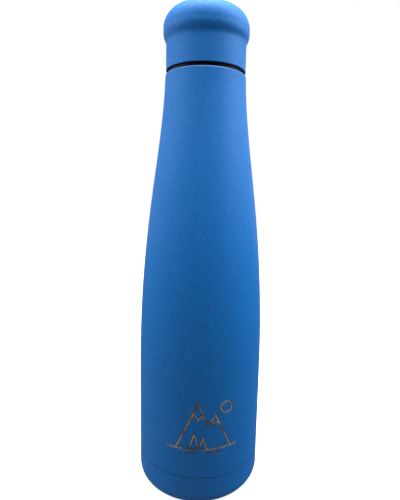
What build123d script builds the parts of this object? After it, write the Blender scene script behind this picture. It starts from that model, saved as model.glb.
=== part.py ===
from build123d import *
import os
from math import acos, degrees, sqrt

# Vacuum-insulated steel water bottle with a mushroom-topped screw cap.
# Millimetres. +Z is up, the origin is the centre of the foot, and -Y is the engraved front.
# Body and cap are turned about Z. The cap's plug screws into the mouth by a right-hand thread.

os.makedirs("parts", exist_ok=True)

# ---- driving dimensions ----
BODY_RADIUS = 35.0
TOTAL_HEIGHT = 260.0
LIP_HEIGHT = 226.2
LIP_RADIUS = 21.5
CAP_GAP = 2.0
SKIRT_RADIUS = 21.2
BULGE_RADIUS = 22.7

# Outer wall: straight barrel, then a shoulder curve up to the lip.
OUTER_WALL = 0.5
FOOT_FILLET = 6.0
SEAM_HEIGHT = 16.5
SEAM_GAP = 0.06
SEAM_BEVEL = (0.15, 0.36)
BARREL_TOP = 66.0
SHOULDER_PULL = 80.4
NECK_PULL = 42.4
NECK_TAPER = 0.031
LIP_ROUND = 0.6

# Base cup.
FOOT_RING_INNER = 27.4
RECESS_HEIGHT = 2.4
LAP_LENGTH = 3.0
LAP_CLEARANCE = 0.02
DIMPLE_RADIUS = 3.4
DIMPLE_RISE = 1.0
EVACUATION_HOLE_RADIUS = 0.9
DISC_RADIUS = 24.4
DISC_THICKNESS = 0.4
GLUE_LINE = 0.05

# Inner flask.
FLASK_WALL = 0.4
VACUUM_GAP = 2.6
FLASK_WELD_HEIGHT = 15.0
FLASK_FLOOR = 8.0
FLASK_FILLET = 5.0
FLASK_FLOOR_RISE = 1.6
FLASK_SHOULDER_PULL = 74.0
FLASK_NECK_PULL = (9.0, -30.0)
THROAT_RADIUS = 15.8
THROAT_LOW = 203.0
THROAT_TOP = 206.0
MOUTH_RADIUS = 18.6

# Two-start thread. Each ridge stands on a wall and is a symmetric trapezoid in section.
LEAD = 8.0
STARTS = 2
RIDGE_DEPTH = 1.0
RIDGE_ROOT = 1.9
RIDGE_CREST = 0.8
RIDGE_ROOT_SINK = 0.25
WINDOW_MARGIN = 0.5
THREAD_CLEARANCE = 0.35
MOUTH_THREAD = (211.0, 222.5)
PLUG_THREAD = (210.6, 221.0)
MOUTH_THREAD_TURN = 20.0
PLUG_THREAD_TURN = MOUTH_THREAD_TURN + 360 / STARTS / 2 + (PLUG_THREAD[0] - MOUTH_THREAD[0]) * 360 / LEAD

# Stopper.
PLUG_RADIUS = MOUTH_RADIUS - RIDGE_DEPTH - THREAD_CLEARANCE
PLUG_BOTTOM = 204.2
PLUG_LIP_RADIUS = 15.3
PLUG_FLOOR = 2.0
SEAL_GROOVE = (206.2, 209.0)
SEAL_GROOVE_RADIUS = 14.4
NARROW_BORE = 12.6
WIDE_BORE = 15.2
BORE_STEP = (210.6, 213.2)
FLANGE_RADIUS = 20.0
FLANGE_BOTTOM = 227.0
CUP_RADIUS = 20.6
CUP_BORE = 18.2
CUP_FLOOR = 238.0
CUP_TOP = 243.6
LID_THICKNESS = 2.0

# Silicone parts.
SEAL_CLEARANCE = 0.08
SEAL_SEAT_GAP = 0.3
GASKET_LIP_GAP = 0.15
GASKET_INNER = 17.45
GASKET_OUTER = 19.8

# Cap cover: skirt, hollow flare, bulge, corner and shallow crown, each arc tangent to the next.
COVER_WALL = 0.5
FLARE_ARC = 5.0
BULGE_ARC = 7.2
BULGE_FLAT = 2.1
CORNER_ARC = 9.9
CROWN_ARC = 102.0
INSERT_WALL = 1.6
INSERT_CLEARANCE = 0.1

# Getter in the vacuum space.
GETTER_OFFSET = 15.0
GETTER_RADIUS = 4.6
GETTER_HEIGHT = 2.2
GETTER_WALL = 0.3

# Engraved motif: two peaks, their snow lines, a sun, two firs, a shore line and two waves.
# Every stroke is a shallow band with a deeper score along both of its edges.
ENGRAVE_DEPTH = 0.12
SCORE_DEPTH = 0.2
ENGRAVE_WIDTH = 1.15
SCORE_WIDTH = 0.24
MOTIF_BASE = 33.4
MOTIF_HALF_WIDTH = 18.4
PEAKS = [(-13.8, 0), (-2.6, 25.6), (2.8, 13.4), (6.8, 18.6), (15.0, 0)]
SNOW_LEFT = [(-6.1, 17.6), (-4.2, 19.4), (-2.5, 16.4), (-0.8, 18.6), (0.9, 17.6)]
SNOW_RIGHT = [(4.1, 15.1), (5.6, 13.6), (7.1, 15.2), (8.7, 14.3)]
SUN_CENTRE = (12.4, 22.4)
SUN_RADIUS = 3.0
FIRS = [(-4.4, 8.4), (0.4, 6.4)]
FIR_HALF_WIDTH = 0.3
WAVES = [(-9.0, -2.4, 6.0), (2.0, -2.4, 8.0)]
MOTIF_MARGIN = 1.0


def turned(outline):
    """Solid of revolution about Z of a closed outline drawn as (radius, height)."""
    return revolve(Plane.XZ * make_face(outline), Axis.Z)


def ring(corners):
    """Turned solid from (radius, height, fillet) corners."""
    points = [(radius, height) for radius, height, _ in corners]
    fillets = [fillet for _, _, fillet in corners]
    return turned(FilletPolyline(*points, radius=fillets, close=True))


def write(name, solid):
    export_step(solid, f"parts/{name}.step")


# ---- bottle body ----
def shoulder_curve(inset):
    """Shoulder of the outer wall, moved inwards by inset."""
    neck_foot = (LIP_RADIUS + NECK_TAPER * NECK_PULL - inset, LIP_HEIGHT - NECK_PULL)
    return Bezier(
        (BODY_RADIUS - inset, BARREL_TOP),
        (BODY_RADIUS - inset, BARREL_TOP + SHOULDER_PULL),
        neck_foot,
        (LIP_RADIUS - inset, LIP_HEIGHT - LIP_ROUND),
    )


def motif(width):
    """Line drawing of the motif in the XZ plane, in strokes of the given width."""
    shore = Line((-MOTIF_HALF_WIDTH, 0), (MOTIF_HALF_WIDTH, 0))
    sun = CenterArc(SUN_CENTRE, SUN_RADIUS, 0, 360)
    strokes = [shore, sun, Polyline(*PEAKS), Polyline(*SNOW_LEFT), Polyline(*SNOW_RIGHT)]
    for foot, height in FIRS:
        half = height * FIR_HALF_WIDTH
        strokes.append(Polyline((foot - half, 0), (foot, height), (foot + half, 0)))
    for start, level, length in WAVES:
        strokes.append(Line((start, level), (start + length, level)))
    drawing = Sketch()
    for stroke in strokes:
        drawing += trace(stroke, width)
    return Plane.XZ * (Pos(0, MOTIF_BASE) * drawing)


def engraving():
    """Material that the engraving removes from the front of the barrel."""
    strokes = motif(ENGRAVE_WIDTH)
    scores = strokes - motif(ENGRAVE_WIDTH - 2 * SCORE_WIDTH)
    cut = []
    for drawing, depth in ((strokes, ENGRAVE_DEPTH), (scores, SCORE_DEPTH)):
        skin = Cylinder(BODY_RADIUS + 1, BARREL_TOP) - Cylinder(BODY_RADIUS - depth, BARREL_TOP)
        skin = Pos(0, 0, BARREL_TOP / 2 + MOTIF_MARGIN) * skin
        cut.append(extrude(drawing, BODY_RADIUS + MOTIF_MARGIN, dir=(0, -1, 0)) & skin)
    return cut


def outer_shell():
    foot = SEAM_HEIGHT + SEAM_GAP / 2
    bevel_in, bevel_up = SEAM_BEVEL
    top = LIP_HEIGHT
    outside = shoulder_curve(0)
    inside = shoulder_curve(OUTER_WALL)
    rim = LIP_RADIUS - LIP_ROUND
    lip_centre = (rim, top - LIP_ROUND)
    outline = [
        Line((BODY_RADIUS - bevel_in, foot), (BODY_RADIUS, foot + bevel_up)),
        Line((BODY_RADIUS, foot + bevel_up), (BODY_RADIUS, BARREL_TOP)),
        outside,
        CenterArc(lip_centre, LIP_ROUND, 0, 90),
        Line((rim, top), (rim, top - OUTER_WALL)),
        CenterArc(lip_centre, LIP_ROUND - OUTER_WALL, 0, 90),
        inside,
        Line((BODY_RADIUS - OUTER_WALL, BARREL_TOP), (BODY_RADIUS - OUTER_WALL, foot)),
        Line((BODY_RADIUS - OUTER_WALL, foot), (BODY_RADIUS - bevel_in, foot)),
    ]
    shell = turned(outline)
    for cut in engraving():
        shell -= cut
    return shell


def outer_base():
    top = SEAM_HEIGHT - SEAM_GAP / 2
    lap = BODY_RADIUS - OUTER_WALL - LAP_CLEARANCE
    wall = OUTER_WALL
    plate = RECESS_HEIGHT
    bevel_in, bevel_up = SEAM_BEVEL
    return ring(
        [
            (BODY_RADIUS - bevel_in, top, 0),
            (BODY_RADIUS, top - bevel_up, 0),
            (BODY_RADIUS, 0, FOOT_FILLET),
            (FOOT_RING_INNER, 0, 0.8),
            (FOOT_RING_INNER - 1.2, plate, 0.8),
            (DIMPLE_RADIUS + 0.6, plate, 0.4),
            (DIMPLE_RADIUS, plate + DIMPLE_RISE, 0.3),
            (EVACUATION_HOLE_RADIUS, plate + DIMPLE_RISE, 0),
            (EVACUATION_HOLE_RADIUS, plate + DIMPLE_RISE + wall, 0),
            (DIMPLE_RADIUS + 0.5, plate + DIMPLE_RISE + wall, 0.6),
            (DIMPLE_RADIUS + 1.1, plate + wall, 0.3),
            (FOOT_RING_INNER - 0.7, plate + wall, 0.8),
            (FOOT_RING_INNER + 0.5, wall, 0.8),
            (BODY_RADIUS - wall, wall, FOOT_FILLET - wall),
            (BODY_RADIUS - wall, top - 2, 0),
            (lap - wall, top - 1, 0),
            (lap - wall, top + LAP_LENGTH, 0),
            (lap, top + LAP_LENGTH, 0.2),
            (lap, top, 0),
        ]
    )


def flask_shoulder(inset):
    """Shoulder of the inner flask, moved inwards by inset."""
    barrel = BODY_RADIUS - OUTER_WALL - VACUUM_GAP - inset
    throat = THROAT_RADIUS + FLASK_WALL - inset
    pull_out, pull_down = FLASK_NECK_PULL
    return Bezier(
        (barrel, BARREL_TOP),
        (barrel, BARREL_TOP + FLASK_SHOULDER_PULL),
        (throat + pull_out, THROAT_LOW + pull_down),
        (throat, THROAT_LOW),
    )


def thread(wall_radius, inwards, span, turn):
    """Helical ridges on a wall, faded in and out over one ridge depth at both ends of the span."""
    low, high = span
    side = -1 if inwards else 1
    sunk = wall_radius - side * RIDGE_ROOT_SINK
    crest = wall_radius + side * RIDGE_DEPTH
    section = Polyline(
        (sunk, -RIDGE_ROOT / 2),
        (crest, -RIDGE_CREST / 2),
        (crest, RIDGE_CREST / 2),
        (sunk, RIDGE_ROOT / 2),
        close=True,
    )
    path = Helix(LEAD, high - low, wall_radius)
    ridge = sweep(Plane.XZ * make_face(section), path=path, is_frenet=True)
    slope = RIDGE_DEPTH + RIDGE_ROOT_SINK + WINDOW_MARGIN
    window_root = sunk - side * WINDOW_MARGIN
    window_crest = crest + side * WINDOW_MARGIN
    window = ring(
        [
            (window_root, low - WINDOW_MARGIN, 0),
            (window_crest, low + slope, 0),
            (window_crest, high - slope, 0),
            (window_root, high + WINDOW_MARGIN, 0),
        ]
    )
    ridges = []
    for start in range(STARTS):
        placed = Pos(0, 0, low) * Rot(0, 0, turn + start * 360 / STARTS) * ridge
        ridges.append(placed & window)
    return ridges


def inner_flask():
    wall = FLASK_WALL
    barrel = BODY_RADIUS - OUTER_WALL - VACUUM_GAP
    mouth_out = MOUTH_RADIUS + wall
    throat_out = THROAT_RADIUS + wall
    rim = LIP_RADIUS - LIP_ROUND
    seat_top = THROAT_TOP + MOUTH_RADIUS - THROAT_RADIUS
    top = LIP_HEIGHT
    outline = [
        Line((barrel, FLASK_WELD_HEIGHT), (barrel, BARREL_TOP)),
        flask_shoulder(0),
        Polyline(
            (throat_out, THROAT_LOW),
            (throat_out, THROAT_TOP),
            (mouth_out, seat_top),
            (mouth_out, top - OUTER_WALL),
            (rim, top - OUTER_WALL),
            (rim, top),
            (MOUTH_RADIUS + wall, top),
        ),
        CenterArc((MOUTH_RADIUS + wall, top - wall), wall, 90, 90),
        Polyline(
            (MOUTH_RADIUS, top - wall),
            (MOUTH_RADIUS, seat_top),
            (THROAT_RADIUS, THROAT_TOP),
            (THROAT_RADIUS, THROAT_LOW),
        ),
        flask_shoulder(wall),
        Line((barrel - wall, BARREL_TOP), (barrel - wall, FLASK_WELD_HEIGHT)),
        Line((barrel - wall, FLASK_WELD_HEIGHT), (barrel, FLASK_WELD_HEIGHT)),
    ]
    flask = turned(outline)
    for ridge in thread(MOUTH_RADIUS, True, MOUTH_THREAD, MOUTH_THREAD_TURN):
        flask += ridge
    return flask


def inner_base():
    """Pressed bottom of the flask: a shallow dish that rises slightly to its centre."""
    wall = FLASK_WALL
    rim = BODY_RADIUS - OUTER_WALL - VACUUM_GAP
    flat = rim - FLASK_FILLET
    bend = CenterArc((flat, FLASK_FLOOR + FLASK_FILLET), FLASK_FILLET, -90, 90)
    crown = FLASK_FLOOR + FLASK_FLOOR_RISE
    dome_radius = (flat**2 + FLASK_FLOOR_RISE**2) / (2 * FLASK_FLOOR_RISE)
    mid = (flat / 2, crown - dome_radius + sqrt(dome_radius**2 - (flat / 2) ** 2))
    outline = [
        ThreePointArc((0, crown), mid, (flat, FLASK_FLOOR)),
        bend,
        Polyline(
            (rim, FLASK_FLOOR + FLASK_FILLET),
            (rim, FLASK_WELD_HEIGHT),
            (rim - wall, FLASK_WELD_HEIGHT),
            (rim - wall, FLASK_FLOOR + FLASK_FILLET),
        ),
        CenterArc((flat, FLASK_FLOOR + FLASK_FILLET), FLASK_FILLET - wall, -90, 90),
        ThreePointArc((flat, FLASK_FLOOR + wall), (mid[0], mid[1] + wall), (0, crown + wall)),
        Line((0, crown + wall), (0, crown)),
    ]
    return turned(outline)


def sealing_bead():
    """Glass solder that fills the evacuation hole and spreads in the dimple below it."""
    under = RECESS_HEIGHT + DIMPLE_RISE
    plug = EVACUATION_HOLE_RADIUS - LAP_CLEARANCE
    return ring(
        [
            (0, under - 0.7, 0),
            (2.4, under - 0.7, 0.5),
            (2.6, under - LAP_CLEARANCE, 0),
            (plug, under - LAP_CLEARANCE, 0),
            (plug, under + OUTER_WALL, 0),
            (0, under + OUTER_WALL, 0),
        ]
    )


def getter_cup():
    floor = RECESS_HEIGHT + OUTER_WALL
    cup = ring(
        [
            (0, floor, 0),
            (GETTER_RADIUS, floor, 0.4),
            (GETTER_RADIUS, floor + GETTER_HEIGHT, 0),
            (GETTER_RADIUS - GETTER_WALL, floor + GETTER_HEIGHT, 0),
            (GETTER_RADIUS - GETTER_WALL, floor + GETTER_WALL, 0),
            (0, floor + GETTER_WALL, 0),
        ]
    )
    return Pos(GETTER_OFFSET, 0, 0) * cup


def getter_pellet():
    radius = GETTER_RADIUS - GETTER_WALL - LAP_CLEARANCE
    height = GETTER_HEIGHT - 2 * GETTER_WALL
    floor = RECESS_HEIGHT + OUTER_WALL + GETTER_WALL
    return Pos(GETTER_OFFSET, 0, floor + height / 2) * Cylinder(radius, height)


def base_disc():
    top = RECESS_HEIGHT - GLUE_LINE
    low = top - DISC_THICKNESS
    return ring([(0, low, 0), (DISC_RADIUS, low, 0.25), (DISC_RADIUS, top, 0), (0, top, 0)])


# ---- cap ----
def cover_outline(inset, foot):
    """Edges of the cap cover from its foot to the axis, moved inwards by inset."""
    crown_centre = TOTAL_HEIGHT - CROWN_ARC
    corner_x = BULGE_RADIUS - CORNER_ARC
    corner_z = crown_centre + sqrt((CROWN_ARC - CORNER_ARC) ** 2 - corner_x**2)
    crown_angle = degrees(acos(corner_x / (CROWN_ARC - CORNER_ARC)))
    arcs = FLARE_ARC + BULGE_ARC
    overhang = BULGE_RADIUS - SKIRT_RADIUS
    flare_angle = degrees(acos((arcs - overhang) / arcs))
    bulge_z = corner_z - BULGE_FLAT
    flare_z = bulge_z - sqrt(arcs**2 - (arcs - overhang) ** 2)
    skirt = SKIRT_RADIUS - inset
    bulge = BULGE_RADIUS - inset
    return [
        Line((skirt, foot), (skirt, flare_z)),
        CenterArc((SKIRT_RADIUS + FLARE_ARC, flare_z), FLARE_ARC + inset, 180 - flare_angle, flare_angle),
        CenterArc((BULGE_RADIUS - BULGE_ARC, bulge_z), BULGE_ARC - inset, -flare_angle, flare_angle),
        Line((bulge, bulge_z), (bulge, corner_z)),
        CenterArc((corner_x, corner_z), CORNER_ARC - inset, 0, crown_angle),
        CenterArc((0, crown_centre), CROWN_ARC - inset, crown_angle, 90 - crown_angle),
    ]


def cap_shell():
    foot = LIP_HEIGHT + CAP_GAP
    edge = COVER_WALL / 2
    outline = cover_outline(0, foot + edge) + cover_outline(COVER_WALL, foot + edge)
    outline.append(CenterArc((SKIRT_RADIUS - edge, foot + edge), edge, 180, 180))
    outline.append(Line((0, TOTAL_HEIGHT - COVER_WALL), (0, TOTAL_HEIGHT)))
    return turned(outline)


def dome_insert():
    """Moulded dome that stands on the stopper's cup wall and carries the cover."""
    outer = COVER_WALL + INSERT_CLEARANCE
    inner = outer + INSERT_WALL
    foot = CUP_TOP
    outside = cover_outline(outer, foot)[1:]
    inside = cover_outline(inner, foot)[1:]
    crown = Line((0, TOTAL_HEIGHT - inner), (0, TOTAL_HEIGHT - outer))
    rim = Line(outside[0] @ 1, inside[0] @ 1)
    dome = turned(outside + inside + [crown, rim])
    below = Pos(0, 0, foot / 2) * Cylinder(BODY_RADIUS, foot)
    return dome - below


def stopper():
    """One moulding: closed plug with the thread and seal groove, flange, and cup inside the cover."""
    groove_low, groove_top = SEAL_GROOVE
    step_low, step_top = BORE_STEP
    body = ring(
        [
            (0, PLUG_BOTTOM, 0),
            (PLUG_LIP_RADIUS, PLUG_BOTTOM, 0.8),
            (PLUG_LIP_RADIUS, groove_low, 0.2),
            (SEAL_GROOVE_RADIUS, groove_low, 0),
            (SEAL_GROOVE_RADIUS, groove_top, 0),
            (PLUG_RADIUS, groove_top, 0.4),
            (PLUG_RADIUS, FLANGE_BOTTOM, 0),
            (FLANGE_RADIUS, FLANGE_BOTTOM, 0.2),
            (FLANGE_RADIUS, FLANGE_BOTTOM + 2, 0),
            (CUP_RADIUS, FLANGE_BOTTOM + 2, 0),
            (CUP_RADIUS, CUP_TOP, 0),
            (CUP_BORE, CUP_TOP, 0),
            (CUP_BORE, CUP_FLOOR, 0),
            (WIDE_BORE, CUP_FLOOR, 0.3),
            (WIDE_BORE, step_top, 0.5),
            (NARROW_BORE, step_low, 0.5),
            (NARROW_BORE, PLUG_BOTTOM + PLUG_FLOOR, 0.8),
            (0, PLUG_BOTTOM + PLUG_FLOOR, 0),
        ]
    )
    for ridge in thread(PLUG_RADIUS, False, PLUG_THREAD, PLUG_THREAD_TURN):
        body += ridge
    return body


def foam_core():
    step_low, step_top = BORE_STEP
    slack = INSERT_CLEARANCE
    floor = PLUG_BOTTOM + PLUG_FLOOR + slack
    return ring(
        [
            (0, floor, 0),
            (NARROW_BORE - slack, floor, 0.9),
            (NARROW_BORE - slack, step_low + slack, 0),
            (WIDE_BORE - slack, step_top + slack, 0),
            (WIDE_BORE - slack, CUP_FLOOR - slack, 0.5),
            (0, CUP_FLOOR - slack, 0),
        ]
    )


def stopper_lid():
    radius = CUP_BORE - LAP_CLEARANCE
    top = CUP_FLOOR + LID_THICKNESS
    return ring([(0, CUP_FLOOR, 0), (radius, CUP_FLOOR, 0), (radius, top, 0.4), (0, top, 0)])


def flange_gasket():
    low = LIP_HEIGHT + GASKET_LIP_GAP
    return ring(
        [
            (GASKET_INNER, low, 0),
            (GASKET_OUTER, low, 0.15),
            (GASKET_OUTER, FLANGE_BOTTOM, 0.15),
            (GASKET_INNER, FLANGE_BOTTOM, 0),
        ]
    )


def plug_seal():
    """Silicone ring with a bevel that matches the conical seat of the flask."""
    low = SEAL_GROOVE[0] + SEAL_CLEARANCE
    top = SEAL_GROOVE[1] - SEAL_CLEARANCE
    inner = SEAL_GROOVE_RADIUS + SEAL_CLEARANCE
    bevel_foot = THROAT_RADIUS + low - THROAT_TOP - SEAL_SEAT_GAP
    outer = PLUG_RADIUS - SEAL_CLEARANCE
    return ring(
        [
            (inner, low, 0),
            (bevel_foot, low, 0.2),
            (outer, low + outer - bevel_foot, 0.3),
            (outer, top, 0.2),
            (inner, top, 0),
        ]
    )


for make in (
    outer_shell,
    outer_base,
    inner_flask,
    inner_base,
    getter_cup,
    getter_pellet,
    sealing_bead,
    base_disc,
    cap_shell,
    stopper,
    foam_core,
    stopper_lid,
    dome_insert,
    flange_gasket,
    plug_seal,
):
    write(make.__name__, make())
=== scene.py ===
from math import hypot, pi

import bpy
from mathutils import Matrix, Vector

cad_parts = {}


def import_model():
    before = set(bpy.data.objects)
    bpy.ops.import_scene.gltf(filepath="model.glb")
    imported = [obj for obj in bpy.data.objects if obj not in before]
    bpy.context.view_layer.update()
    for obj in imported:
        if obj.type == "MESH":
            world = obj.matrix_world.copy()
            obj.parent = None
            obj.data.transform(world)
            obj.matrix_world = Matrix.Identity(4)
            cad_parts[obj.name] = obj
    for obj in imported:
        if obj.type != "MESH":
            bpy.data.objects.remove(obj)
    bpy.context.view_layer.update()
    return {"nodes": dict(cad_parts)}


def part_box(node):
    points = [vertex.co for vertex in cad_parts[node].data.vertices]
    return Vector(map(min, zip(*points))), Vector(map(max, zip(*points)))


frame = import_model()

# Looks for the water bottle: every CAD node keeps its shape and gets a procedural material.
# Metres, in the frame of the CAD model: +Z up, -Y towards the engraved front.

MM = 0.001

# ---- sizes read from the frame ----
NODES = frame["nodes"]
BODY_LOW, BODY_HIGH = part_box("outer_shell")
BODY_RADIUS = BODY_HIGH.x
SEAM_HEIGHT = BODY_LOW.z
LIP_HEIGHT = BODY_HIGH.z

# ---- camera ----
CAMERA_DISTANCE = 0.2142
CAMERA_HEIGHT = 0.1680
CAMERA_ORBIT = -0.0576
CAMERA_YAW = 0.018
CAMERA_PITCH = 0.1432
CAMERA_ROLL = 0.0227
CAMERA_LENS = 27.33
CAMERA_SHIFT = (-0.0184, -0.016)

# ---- studio: softboxes as place, aim, size and power, and the bounce from below ----
MIDDLE = (0, 0, 0.14)
NECK = (0, 0, 0.2)
SOFTBOXES = {
    "left_back": ((-0.5, 0.45, 0.35), MIDDLE, (0.4, 0.6), 0.56),
    "right_back": ((0.5, 0.45, 0.35), MIDDLE, (0.4, 0.6), 0.7),
    "left_high": ((-0.45, -0.05, 0.55), MIDDLE, (0.4, 0.5), 1.5),
    "right_high": ((0.45, -0.05, 0.55), MIDDLE, (0.4, 0.5), 3.15),
    "left_middle": ((-0.6, 0.05, 0.3), MIDDLE, (0.3, 0.5), 0.4),
    "overhead": ((0, 0, 1.2), NECK, (0.8, 0.8), 11.0),
    "overhead_near": ((0, -0.05, 0.5), NECK, (0.3, 0.3), 0.8),
}
BOUNCE_LEFT = 0.62
BOUNCE_RIGHT = 0.24
FLOOR_SIZE = 6.0
FLOOR_DROP = 0.05 * MM
GLOW_REACH = (0.04, 0.3)
GLOW = (0.86, 0.99)

# ---- engraving: depths below the barrel's surface ----
COAT_DEPTH = 0.06 * MM
GROOVE_DEPTH = 0.12 * MM
SCORE_DEPTH = 0.20 * MM
ENGRAVED_FROM = 0.024
ENGRAVED_TO = 0.064

# ---- coat: the grain's two colours, the clouding, rub marks, a painted shade line with grime at the seam, and a painted highlight at the lip ----
COAT_DARK = (0.001, 0.185, 0.66, 1)
COAT_LIGHT = (0.004, 0.29, 0.92, 1)
COAT_CLOUD = (0.002, 0.22, 0.80, 1)
FINE_SHARE = 0.72
# Rub marks: both ends (x, z) on the front, and half the width.
SCUFFS = [
    ((-0.0086, 0.0910), (-0.0061, 0.0795), 0.0005),
    ((-0.0090, 0.0860), (-0.0085, 0.0838), 0.0004),
]
RUB_SHARE = 0.4
# Dark line painted along the seam: painted shade in the joint's groove, with grime.
SEAM_SHADE_AND_GRIME_REACH = 0.8 * MM
SEAM_SHADE_AND_GRIME_SHARE = 0.45
# Pale line painted along the lip: a painted highlight.
LIP_HIGHLIGHT_REACH = 0.6 * MM
LIP_HIGHLIGHT_SHARE = 0.4


# ---- node helpers ----
class Nodes:
    """A node tree, with short ways to add and join nodes."""

    def __init__(self, tree, space):
        self.tree = tree
        self.coordinates = tree.nodes.new("ShaderNodeTexCoord").outputs[space]

    def node(self, kind, inputs=None, **settings):
        made = self.tree.nodes.new(kind)
        for key, value in settings.items():
            setattr(made, key, value)
        for key, value in (inputs or {}).items():
            self.put(value, made.inputs[key])
        return made

    def put(self, value, socket):
        """Joins value to socket if it is another node's output, or sets it there if it is a constant."""
        if isinstance(value, bpy.types.NodeSocket):
            self.tree.links.new(value, socket)
        else:
            socket.default_value = value

    def math(self, operation, a, b=0.0):
        return self.node("ShaderNodeMath", {0: a, 1: b}, operation=operation).outputs[0]

    def ramp(self, value, low, high, to_low=0.0, to_high=1.0, kind="SMOOTHSTEP"):
        """Takes value from low..high to to_low..to_high, and holds it level outside."""
        inputs = {"Value": value, "From Min": low, "From Max": high, "To Min": to_low, "To Max": to_high}
        return self.node("ShaderNodeMapRange", inputs, interpolation_type=kind).outputs[0]

    def noise(self, size, detail=2.0, roughness=0.5, place=None):
        """Noise with features about size metres across, in object space or at the given place."""
        inputs = {
            "Vector": place or self.coordinates,
            "Scale": 1 / size,
            "Detail": detail,
            "Roughness": roughness,
        }
        return self.node("ShaderNodeTexNoise", inputs).outputs["Fac"]

    def mix(self, factor, a, b):
        made = self.node("ShaderNodeMix", data_type="RGBA")
        self.put(factor, made.inputs[0])
        self.put(a, made.inputs[6])
        self.put(b, made.inputs[7])
        return made.outputs[2]

    def split(self):
        return self.node("ShaderNodeSeparateXYZ", {"Vector": self.coordinates}).outputs


class Shader(Nodes):
    """A material with a Principled shader."""

    def __init__(self, name):
        self.material = bpy.data.materials.new(name)
        self.material.use_nodes = True
        super().__init__(self.material.node_tree, "Object")
        self.principled = self.tree.nodes["Principled BSDF"]

    def set(self, **values):
        """Sets or joins the shader's own sockets, named with underscores for spaces."""
        for key, value in values.items():
            self.put(value, self.principled.inputs[key.replace("_", " ")])

    def radius(self):
        """Distance from the bottle's axis."""
        flat = self.node("ShaderNodeVectorMath", {0: self.coordinates, 1: (1, 1, 0)}, operation="MULTIPLY")
        made = self.node("ShaderNodeVectorMath", {0: flat.outputs[0]}, operation="LENGTH")
        return made.outputs["Value"]

    def dot(self, a, b):
        return self.node("ShaderNodeVectorMath", {0: a, 1: b}, operation="DOT_PRODUCT").outputs["Value"]

    def streak(self, start, end, half_width):
        """Soft line on the front, from start to end, both (x, z)."""
        length = hypot(end[0] - start[0], end[1] - start[1])
        along = ((end[0] - start[0]) / length, 0, (end[1] - start[1]) / length)
        across = (along[2], 0, -along[0])
        shift = {"Vector": self.coordinates, "Location": (-start[0], 0, -start[1])}
        place = self.node("ShaderNodeMapping", shift).outputs[0]
        run = self.dot(place, along)
        off = self.dot(place, across)
        mask = self.ramp(self.math("ABSOLUTE", off), 0.0, half_width, 1.0, 0.0)
        mask = self.math("MULTIPLY", mask, self.ramp(run, 0.0, length / 3))
        mask = self.math("MULTIPLY", mask, self.ramp(run, length / 2, length, 1.0, 0.0))
        return self.math("MULTIPLY", mask, self.math("LESS_THAN", self.split()[1], 0.0))

    def bump(self, height, distance, strength=1.0):
        inputs = {"Height": height, "Distance": distance, "Strength": strength}
        return self.node("ShaderNodeBump", inputs).outputs[0]


def srgb(red, green, blue):
    """Linear colour from 0-255 display values."""
    def linear(value):
        value /= 255
        return value / 12.92 if value <= 0.04045 else ((value + 0.055) / 1.055) ** 2.4

    return (linear(red), linear(green), linear(blue), 1.0)


def dress(material, *names):
    """Gives a material to CAD nodes."""
    for name in names:
        slots = NODES[name].data.materials
        slots.clear()
        slots.append(material)


# ---- materials ----
def powder_coat(name):
    """Blue fine-texture powder coat: sandy grain, slight clouding, two rub marks, and a dark line along the
    seam that is painted shade in its groove, with grime.
    """
    s = Shader(name)
    fine = s.noise(0.45 * MM, 3.0, 0.6)
    coarse = s.noise(1.4 * MM, 2.0)
    cloud = s.noise(18 * MM, 2.0)
    grain = s.math("ADD", s.math("MULTIPLY", fine, FINE_SHARE), s.math("MULTIPLY", coarse, 1 - FINE_SHARE))
    colour = s.mix(s.ramp(grain, 0.35, 0.65), COAT_DARK, COAT_LIGHT)
    colour = s.mix(s.ramp(cloud, 0.4, 0.7, 0.0, 0.2), colour, COAT_CLOUD)
    for start, end, half_width in SCUFFS:
        rub = s.math("MULTIPLY", s.streak(start, end, half_width), RUB_SHARE)
        colour = s.mix(rub, colour, srgb(96, 170, 245))
    # Dark line painted along the seam: painted shade in the joint's groove, with grime.
    from_seam = s.math("ABSOLUTE", s.math("SUBTRACT", s.split()[2], SEAM_HEIGHT))
    colour = s.mix(s.ramp(from_seam, 0.0, SEAM_SHADE_AND_GRIME_REACH, SEAM_SHADE_AND_GRIME_SHARE, 0.0), colour, srgb(6, 30, 60))
    s.set(Base_Color=colour, Roughness=s.ramp(grain, 0.3, 0.7, 0.66, 0.54), Metallic=0.0)
    s.set(Normal=s.bump(grain, 0.06 * MM, 0.8))
    return s


def engraved_coat():
    """Powder coat with a pale highlight painted along the lip, and a motif laser-cut through it to oxidised
    steel.

    The steel is darker in patches and burnt in the deeper scores.
    """
    s = powder_coat("powder_coat_engraved")
    depth = s.math("SUBTRACT", BODY_RADIUS, s.radius())
    cut = s.ramp(depth, COAT_DEPTH, 0.8 * GROOVE_DEPTH)
    burnt = s.ramp(depth, 1.2 * GROOVE_DEPTH, 0.9 * SCORE_DEPTH)
    height = s.split()[2]
    above = s.ramp(height, ENGRAVED_FROM, ENGRAVED_FROM + MM)
    below = s.ramp(height, ENGRAVED_TO, ENGRAVED_TO + MM, 1.0, 0.0)
    cut = s.math("MULTIPLY", cut, s.math("MULTIPLY", above, below))
    coat = s.principled.inputs["Base Color"].links[0].from_socket
    # Pale line painted along the lip: a painted highlight.
    lip_highlight = s.ramp(height, LIP_HEIGHT - LIP_HIGHLIGHT_REACH, LIP_HEIGHT, 0.0, LIP_HIGHLIGHT_SHARE)
    coat = s.mix(lip_highlight, coat, srgb(176, 180, 184))
    streak = s.noise(0.8 * MM, 3.0)
    steel = s.mix(s.ramp(streak, 0.35, 0.65), srgb(186, 164, 130), srgb(228, 216, 194))
    patches = s.ramp(s.noise(9 * MM, 1.0), 0.5, 0.64, 0.0, 0.75)
    steel = s.mix(patches, steel, srgb(92, 74, 50))
    steel = s.mix(burnt, steel, srgb(10, 12, 14))
    s.set(Base_Color=s.mix(cut, coat, steel), Metallic=s.math("MULTIPLY", cut, 0.1))
    return s


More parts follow.
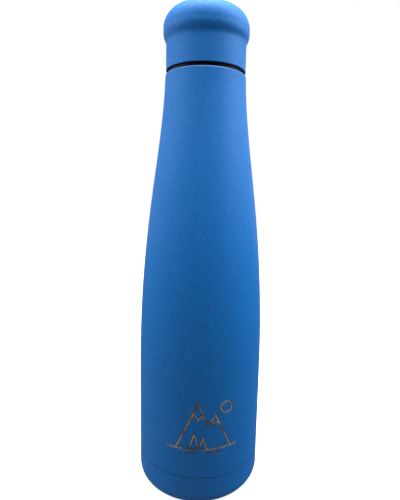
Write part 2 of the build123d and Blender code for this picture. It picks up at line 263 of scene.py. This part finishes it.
def bare_steel():
    """Turned and satin-polished stainless steel."""
    s = Shader("bare_steel")
    profile = s.node("ShaderNodeCombineXYZ", {"X": s.radius(), "Z": s.split()[2]}).outputs[0]
    rings = s.noise(0.4 * MM, 3.0, 0.6, profile)
    s.set(Base_Color=s.mix(s.ramp(rings, 0.3, 0.7), srgb(182, 182, 184), srgb(212, 212, 214)))
    s.set(Metallic=1.0, Roughness=s.ramp(rings, 0.3, 0.7, 0.26, 0.38))
    s.set(Normal=s.bump(rings, 0.01 * MM, 0.5))
    return s


def black_polypropylene():
    s = Shader("black_polypropylene")
    grain = s.noise(0.3 * MM, 2.0)
    s.set(Base_Color=s.mix(grain, srgb(6, 7, 12), srgb(14, 15, 22)))
    s.set(Roughness=s.ramp(grain, 0.3, 0.7, 0.42, 0.54), Specular_IOR_Level=0.35)
    s.set(Normal=s.bump(grain, 0.01 * MM, 0.4))
    return s


def silicone():
    s = Shader("silicone")
    dust = s.noise(2.0 * MM, 3.0)
    s.set(Base_Color=s.mix(s.ramp(dust, 0.4, 0.7), srgb(8, 9, 14), srgb(18, 19, 26)))
    s.set(Roughness=0.7, Specular_IOR_Level=0.3)
    return s


def foam():
    s = Shader("foam")
    cells = s.noise(0.6 * MM, 2.0)
    s.set(Base_Color=s.mix(cells, srgb(222, 212, 178), srgb(242, 236, 214)), Roughness=0.95)
    s.set(Normal=s.bump(cells, 0.2 * MM))
    return s


def solder_glass():
    s = Shader("solder_glass")
    swirl = s.noise(1.5 * MM, 2.0)
    s.set(Base_Color=s.mix(swirl, srgb(70, 78, 74), srgb(110, 118, 112)), Roughness=0.15)
    return s


def getter_alloy():
    s = Shader("getter_alloy")
    powder = s.noise(0.2 * MM, 3.0)
    s.set(Base_Color=s.mix(powder, srgb(60, 60, 64), srgb(104, 104, 108)), Metallic=0.8, Roughness=0.7)
    s.set(Normal=s.bump(powder, 0.05 * MM))
    return s


dress(engraved_coat().material, "outer_shell")
dress(powder_coat("powder_coat").material, "outer_base", "cap_shell")
dress(bare_steel().material, "inner_flask", "inner_base", "getter_cup", "base_disc")
dress(black_polypropylene().material, "stopper", "stopper_lid", "dome_insert")
dress(silicone().material, "flange_gasket", "plug_seal")
dress(foam().material, "foam_core")
dress(solder_glass().material, "sealing_bead")
dress(getter_alloy().material, "getter_pellet")


# ---- floor, light, camera ----
def floor():
    """White paper that glows with painted light, brighter away from the bottle where the lamps don't reach,
    and left out of reflections.
    """
    mesh = bpy.data.meshes.new("floor")
    half = FLOOR_SIZE / 2
    low = -FLOOR_DROP
    corners = [(-half, -half, low), (half, -half, low), (half, half, low), (-half, half, low)]
    mesh.from_pydata(corners, [], [(0, 1, 2, 3)])
    made = bpy.data.objects.new("floor", mesh)
    bpy.context.scene.collection.objects.link(made)
    made.visible_diffuse = False
    made.visible_glossy = False
    s = Shader("floor_white")
    paper = s.noise(60 * MM, 2.0)
    s.set(Base_Color=s.mix(paper, (0.9, 0.9, 0.9, 1), (0.94, 0.94, 0.94, 1)), Roughness=0.85)
    glow = s.ramp(s.radius(), *GLOW_REACH, *GLOW)
    s.set(Emission_Color=(1, 1, 1, 1), Emission_Strength=glow)
    mesh.materials.append(s.material)


def world():
    """White backdrop for the camera; a weak bounce from below for everything else."""
    scene_world = bpy.data.worlds.new("studio")
    scene_world.use_nodes = True
    n = Nodes(scene_world.node_tree, "Generated")
    x, _, z = n.split()
    sides = n.ramp(x, -1.0, 1.0, BOUNCE_LEFT, BOUNCE_RIGHT, "LINEAR")
    bounce = n.ramp(z, 0.1, -1.0, 0.0, sides, "LINEAR")
    seen = n.node("ShaderNodeLightPath").outputs["Is Camera Ray"]
    background = n.tree.nodes["Background"]
    n.put((1, 1, 1, 1), background.inputs["Color"])
    n.put(n.math("MAXIMUM", seen, bounce), background.inputs["Strength"])
    bpy.context.scene.world = scene_world


def softbox(name, place, aim, size, power):
    light = bpy.data.lights.new(name, "AREA")
    light.shape = "RECTANGLE"
    light.size, light.size_y = size
    light.energy = power
    made = bpy.data.objects.new(name, light)
    bpy.context.scene.collection.objects.link(made)
    made.location = place
    made.rotation_euler = (Vector(aim) - Vector(place)).to_track_quat("-Z", "Y").to_euler()


def camera():
    data = bpy.data.cameras.new("camera")
    data.lens = CAMERA_LENS
    data.shift_x, data.shift_y = CAMERA_SHIFT
    data.clip_start = 0.01
    made = bpy.data.objects.new("camera", data)
    bpy.context.scene.collection.objects.link(made)
    place = Matrix.Rotation(CAMERA_ORBIT, 4, "Z") @ Matrix.Translation((0, -CAMERA_DISTANCE, CAMERA_HEIGHT))
    turn = Matrix.Rotation(-CAMERA_YAW, 4, "Z") @ Matrix.Rotation(pi / 2 - CAMERA_PITCH, 4, "X")
    made.matrix_world = place @ turn @ Matrix.Rotation(CAMERA_ROLL, 4, "Z")
    bpy.context.scene.camera = made


floor()
world()
for name, settings in SOFTBOXES.items():
    softbox(name, *settings)
camera()
bpy.context.scene.view_settings.view_transform = "Standard"
